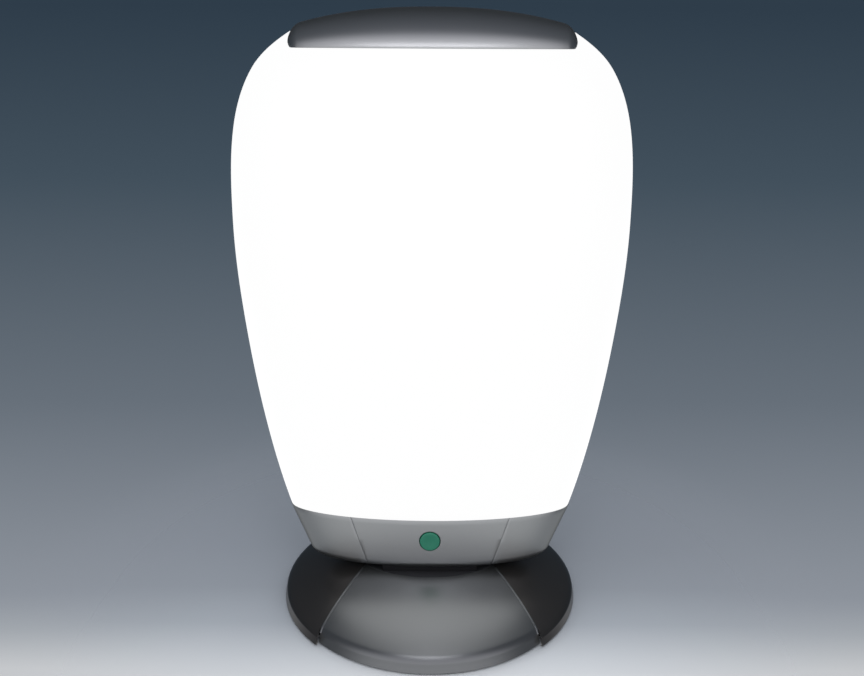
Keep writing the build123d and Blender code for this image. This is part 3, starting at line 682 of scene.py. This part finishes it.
class Wire:
    """A shader socket that can stand in a sum like a number."""

    def __init__(self, tree, socket=None):
        self.tree = tree
        self.socket = socket

    def node(self, kind, settings=None, values=None, output=0):
        """Adds a node: its settings first, then the numbers or wires of its sockets.

        A ramp's stops are places from 0 to 1, each with its colour as seen on a screen.
        """
        made = self.tree.nodes.new("ShaderNode" + kind)
        for name, value in (settings or {}).items():
            if name == "stops":
                while len(made.color_ramp.elements) < len(value):
                    made.color_ramp.elements.new(1)
                for element, (position, colour) in zip(made.color_ramp.elements, value):
                    element.position = position
                    element.color = (*linear(colour), 1)
            else:
                setattr(made, name, value)
        for key, value in (values or {}).items():
            if isinstance(value, Wire):
                self.tree.links.new(value.socket, made.inputs[key])
            else:
                made.inputs[key].default_value = value
        return Wire(self.tree, made.outputs[output] if made.outputs else None)

    def maths(self, operation, first, second=0.0):
        return self.node("Math", {"operation": operation}, {0: first, 1: second})

    def __add__(self, other):
        return self.maths("ADD", self, other)

    def __radd__(self, other):
        return self.maths("ADD", other, self)

    def __sub__(self, other):
        return self.maths("SUBTRACT", self, other)

    def __rsub__(self, other):
        return self.maths("SUBTRACT", other, self)

    def __mul__(self, other):
        return self.maths("MULTIPLY", self, other)

    def __rmul__(self, other):
        return self.maths("MULTIPLY", other, self)

    def __truediv__(self, other):
        return self.maths("DIVIDE", self, other)

    def __rtruediv__(self, other):
        return self.maths("DIVIDE", other, self)


def new_tree(name):
    material = bpy.data.materials.new(name)
    material.use_nodes = True
    material.node_tree.nodes.clear()
    return material, Wire(material.node_tree)


def linear(colour):
    """A colour as seen on a screen, from 0 to 255, as light."""
    shares = [value / 255 for value in colour]
    return tuple(v / 12.92 if v <= 0.04045 else ((v + 0.055) / 1.055) ** 2.4 for v in shares)


def noise(wire, scale, detail=2.0, stretch=None):
    place = wire.node("TexCoord", output="Object")
    if stretch:
        place = wire.node("Mapping", values={"Vector": place, "Scale": stretch})
    return wire.node("TexNoise", values={"Vector": place, "Scale": scale, "Detail": detail})


def ease(wire, value, start, end, line="SMOOTHSTEP"):
    """Goes from 0 at the start to 1 at the end."""
    return wire.node("MapRange", {"interpolation_type": line}, {0: value, 1: start, 2: end, 3: 0.0, 4: 1.0})


def blend_colours(wire, share, first, second):
    """Mixes two colours, each a wire or three numbers of light."""
    first, second = [colour if isinstance(colour, Wire) else (*colour, 1) for colour in (first, second)]
    return wire.node("Mix", {"data_type": "RGBA"}, {0: share, 6: first, 7: second}, output=2)


def surface(name, colour, spread, roughness, rough_spread, grain, grain_height, constants=None,
            stretch=None):
    """A finish whose colour, roughness and relief vary a little at the real one's scale."""
    material, wire = new_tree(name)
    fine = noise(wire, grain, 2.0, stretch)
    broad = noise(wire, cloud_scale, 3.0)
    mixed = fine * fine_share + broad * (1 - fine_share)
    dark = tuple(max(0.0, v * (1 - spread)) for v in linear(colour))
    light = tuple(min(1.0, v * (1 + spread)) for v in linear(colour))
    bump = wire.node("Bump", values={"Strength": 1.0, "Distance": grain_height, "Height": fine})
    shader = wire.node("BsdfPrincipled", values={
        "Base Color": blend_colours(wire, mixed, dark, light),
        "Roughness": roughness + (broad - 0.5) * rough_spread + (fine - 0.5) * rough_spread,
        "Normal": bump,
        **(constants or {}),
    })
    wire.node("OutputMaterial", values={"Surface": shader})
    return material


def glowing_acrylic(name):
    """Opal acrylic lit from inside: even in front, a little less bright towards the seam."""
    material, wire = new_tree(name)
    depth = wire.node("SeparateXYZ", values={0: wire.node("TexCoord", output="Object")}, output="Y")
    rear = ease(wire, depth, glow_even_y, shell_seam_y)
    fine = noise(wire, 900)
    bump = wire.node("Bump", values={"Strength": 1.0, "Distance": 0.004 * mm, "Height": fine})
    shader = wire.node("BsdfPrincipled", values={
        "Base Color": (0.02, 0.02, 0.02, 1),
        "Roughness": 0.34 + fine * 0.05,
        "Specular IOR Level": 0.2,
        "Emission Color": blend_colours(wire, rear, linear(glow_front), linear(glow_rear)),
        "Emission Strength": 1.0,
        "Normal": bump,
    })
    wire.node("OutputMaterial", values={"Surface": shader})
    return material


# Each finish: its colour and how much that varies, its roughness and how much that varies, the
# fineness and height of its grain, what is the same all over it, and how far its grain is drawn out.
finish_values = {
    "silver_coat": ((187, 189, 189), 0.05, 0.36, 0.06, 2600, 0.006 * mm,
                    {"Metallic": 0.98, "Specular Tint": edge_tint}),
    "graphite_coat": ((136, 138, 139), 0.07, 0.36, 0.06, 2600, 0.006 * mm, {"Metallic": 0.95}),
    "charcoal_coat": ((99, 96, 94), 0.07, 0.32, 0.06, 2600, 0.006 * mm, {"Metallic": 0.9}),
    "black_plastic": ((50, 50, 53), 0.1, 0.55, 0.1, 1500, 0.02 * mm),
    # The neck's barrel and tray are one black plastic. The tray's lighter colour is painted light that lifts
    # the shade beneath the collar, and the barrel's darker colour is painted shade against the front light
    # that it catches.
    "barrel_plastic_darkened_against_light": ((44, 44, 47), 0.1, 0.75, 0.1, 1500, 0.02 * mm),
    "tray_plastic_lightened_against_shade": ((62, 63, 66), 0.1, 0.6, 0.1, 1500, 0.02 * mm),
    "white_plastic": ((236, 236, 232), 0.02, 0.42, 0.08, 1400, 0.012 * mm),
    "green_plastic": ((40, 124, 98), 0.06, 0.36, 0.06, 1700, 0.01 * mm),
    "black_rubber": ((34, 34, 34), 0.15, 0.75, 0.1, 1200, 0.03 * mm),
    "zinc_steel": ((186, 188, 192), 0.08, 0.34, 0.12, 420, 0.004 * mm, {"Metallic": 1.0}),
    "white_painted_steel": ((228, 228, 226), 0.02, 0.3, 0.06, 700, 0.008 * mm),
    "raw_iron": ((84, 82, 80), 0.2, 0.62, 0.15, 500, 0.06 * mm, {"Metallic": 0.7}),
    "bright_aluminium": ((226, 228, 230), 0.03, 0.18, 0.08, 300, 0.003 * mm, {"Metallic": 1.0},
                         (1, 1, 0.02)),
    "nickel_brass": ((206, 200, 186), 0.04, 0.22, 0.06, 800, 0.003 * mm, {"Metallic": 1.0}),
    "nylon": ((228, 224, 210), 0.03, 0.45, 0.08, 1000, 0.01 * mm),
    "lamp_glass": ((244, 246, 250), 0.02, 0.14, 0.04, 300, 0.003 * mm),
}
finishes = {name: surface(name, *values) for name, values in finish_values.items()}
finishes["opal_acrylic"] = glowing_acrylic("opal_acrylic")
# The neck's two parts take these lit and shaded copies in place of their black plastic slot.
neck_light_offset_finishes = {"neck_barrel": "barrel_plastic_darkened_against_light", "neck_tray": "tray_plastic_lightened_against_shade"}


def coat(piece, finish):
    piece.data.materials.clear()
    piece.data.materials.append(finishes[finish])


def stands_for(piece, finish, body, *nodes):
    """Gives a modelled piece its finish and its body, in place of the nodes that it stands for."""
    take(piece)
    coat(piece, finish)
    bpy.ops.object.shade_smooth_by_angle(angle=math.radians(smooth_below))
    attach(piece, body)
    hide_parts(*nodes)


for entry in frame["record"]["subparts"]:
    coat(frame["nodes"][entry["node"]], neck_light_offset_finishes.get(entry["node"], entry["material_slot"]))

stands_for(head_skin("glowing_shade", True), "opal_acrylic", "head", "front_diffuser")
stands_for(make_housing(), "white_plastic", "head", "rear_housing")
stands_for(make_screws(), "zinc_steel", "head", "housing_screws")
stands_for(make_cap(), "silver_coat", "head", "top_cap")
collar_body, collar_front = make_collar()
stands_for(collar_body, "silver_coat", "head", "collar_shell")
stands_for(collar_front, "silver_coat", "head", "collar_fascia")
stands_for(make_button(), "green_plastic", "button", "power_button")
foot_front, foot_cover = make_foot()
stands_for(foot_front, "graphite_coat", "foot", "foot_front_panel")
stands_for(foot_cover, "charcoal_coat", "foot", "foot_side_cover")

# ------------------------------------------------------------------ floor, backdrop and light
# Tones by the height at which one looks, in degrees above the horizon: of the backdrop behind the
# lamp, of the two sides, which the rounded ends of the collar show, and of the room in front.
backdrop_tones = (
    (-90, (206, 208, 210)), (-38, (197, 199, 202)), (-36, (163, 168, 174)), (-34, (141, 147, 156)),
    (-22, (103, 112, 122)), (-8, (66, 80, 92)), (2, (47, 61, 74)), (50, (64, 70, 78)),
    (90, (100, 103, 112)),
)
side_tones = (
    (-90, (206, 208, 210)), (-45, (160, 163, 168)), (-30, (90, 94, 100)), (-12, (70, 74, 82)),
    (0, (62, 66, 74)), (40, (72, 78, 86)), (90, (100, 103, 112)),
)
room_tones = (
    (-90, (206, 208, 210)), (-38, (204, 206, 208)), (-12, (226, 226, 230)), (0, (238, 237, 243)),
    (20, (228, 227, 234)), (49, (210, 209, 218)), (68, (190, 190, 200)), (90, (116, 118, 128)),
)
# Where each begins, by how far one looks away, from 1 straight behind the lamp to -1 in front of it.
level_from = 0.5  # the backdrop's tones run level from here on, as on a wall
sides_begin, sides_full = 0.5, -0.2
room_begin, room_full = -0.3, -0.75
room_light = (0.93, 0.96, 1.0, 1)
room_strength = 0.55


def make_world():
    world = bpy.data.worlds.new("studio")
    bpy.context.scene.world = world
    world.use_nodes = True
    world.node_tree.nodes.clear()
    wire = Wire(world.node_tree)
    direction = wire.node("TexCoord", output="Generated")
    away = wire.node("SeparateXYZ", values={0: direction}, output="Y")
    up = wire.node("SeparateXYZ", values={0: direction}, output="Z")
    lift = wire.maths("ARCSINE", up)
    wall_lift = wire.maths("ARCTAN2", up, wire.maths("MAXIMUM", away, level_from))

    def tones_at(level, tones):
        stops = [((degrees + 90) / 180, colour) for degrees, colour in tones]
        return wire.node("ValToRGB", {"stops": stops}, {0: level / math.pi + 0.5})

    seen = tones_at(wall_lift, backdrop_tones)
    seen = blend_colours(wire, ease(wire, away, sides_begin, sides_full), seen, tones_at(lift, side_tones))
    seen = blend_colours(wire, ease(wire, away, room_begin, room_full), seen, tones_at(lift, room_tones))
    rays = [wire.node("LightPath", output=f"Is {kind} Ray") for kind in ("Camera", "Glossy", "Transmission")]
    seen_rays = wire.maths("MINIMUM", rays[0] + rays[1] + rays[2], 1.0)
    backdrop = wire.node("Background", values={"Color": seen, "Strength": 1.0})
    room = wire.node("Background", values={"Color": room_light, "Strength": room_strength})
    mixed = wire.node("MixShader", values={0: seen_rays, 1: room, 2: backdrop})
    wire.node("OutputWorld", values={"Surface": mixed})


floor_radius = 0.9
floor_sides = 96
floor_fade_begins, floor_fade_ends = 0.15, 0.42  # distances from the lamp's axis
# The floor's tones from its front edge to behind the foot, and where they begin and end along Y. They are
# painted light: paler in front of the lamp and darker behind, a painted fall of light in step with the
# backdrop's tones.
floor_front, floor_rear = -0.16, 0.3
floor_tones = (
    (0.0, (234, 235, 236)), (0.12, (204, 208, 212)), (0.22, (170, 176, 183)),
    (0.34, (152, 158, 166)), (0.5, (148, 154, 163)), (1.0, (143, 150, 160)),
)


def make_floor():
    """A floor that holds the shadow near the lamp and clears towards the backdrop."""
    bpy.ops.mesh.primitive_circle_add(vertices=floor_sides, radius=floor_radius, fill_type="NGON")
    floor = settle("floor")
    material, wire = new_tree("pale_floor")
    place = wire.node("TexCoord", output="Object")
    distance = wire.node("VectorMath", {"operation": "LENGTH"}, {0: place}, output="Value")
    fade = ease(wire, distance, floor_fade_begins, floor_fade_ends)
    depth = wire.node("SeparateXYZ", values={0: place}, output="Y")
    # Painted fall of light: the floor's colour darkens from its front edge towards the rear.
    shade = ease(wire, depth, floor_front, floor_rear, "LINEAR")
    colour = wire.node("ValToRGB", {"stops": floor_tones}, {0: shade})
    paint = wire.node("BsdfPrincipled", values={"Base Color": colour, "Roughness": 0.6})
    clear = wire.node("BsdfTransparent")
    mixed = wire.node("MixShader", values={0: fade, 1: paint, 2: clear})
    wire.node("OutputMaterial", values={"Surface": mixed})
    floor.data.materials.append(material)
    floor.visible_glossy = False


def soft_light(name, place, aim, size, power, colour=(1, 1, 1), mirrored=False):
    """A rectangular light that the camera does not see, and that reflections only show if mirrored."""
    light = bpy.data.lights.new(name, "AREA")
    light.shape = "RECTANGLE"
    light.size, light.size_y = size
    light.energy = power
    light.color = colour
    holder = bpy.data.objects.new(name, light)
    holder.location = place
    holder.rotation_euler = (Vector(aim) - Vector(place)).to_track_quat("-Z", "Y").to_euler()
    holder.visible_glossy = mirrored
    holder.visible_camera = False
    bpy.context.scene.collection.objects.link(holder)


make_world()
make_floor()
soft_light("front_light", (0, -1.7, 1.6), (0, 0, 0.2), (1.4, 0.9), 12, (0.98, 0.97, 1.0))
soft_light("left_light", (-1.8, -0.6, 1.1), (0, 0, 0.25), (1.0, 1.2), 5, (0.9, 0.95, 1.0))
soft_light("strip_light", (0, -0.31, 0.505), (0, -0.31, 0), (0.24, 0.35), 0.5, (0.97, 0.96, 1.0), True)
soft_light("rear_light", (1.2, 1.9, 1.2), (0, 0, 0.25), (1.4, 1.2), 10)

# ------------------------------------------------------------------ camera
camera_place = (0.00086, -0.7328, 0.4778)
camera_dip = 0.31238  # radians below the horizon
camera_turn = 0.0057
camera = bpy.data.objects.new("camera", bpy.data.cameras.new("camera"))
bpy.context.scene.collection.objects.link(camera)
bpy.context.scene.camera = camera
camera.data.sensor_width = 36
camera.data.lens = 37.88
camera.location = camera_place
camera.rotation_mode = "ZYX"
camera.rotation_euler = (math.pi / 2 - camera_dip, 0, camera_turn)

bpy.context.scene.view_settings.view_transform = "Standard"
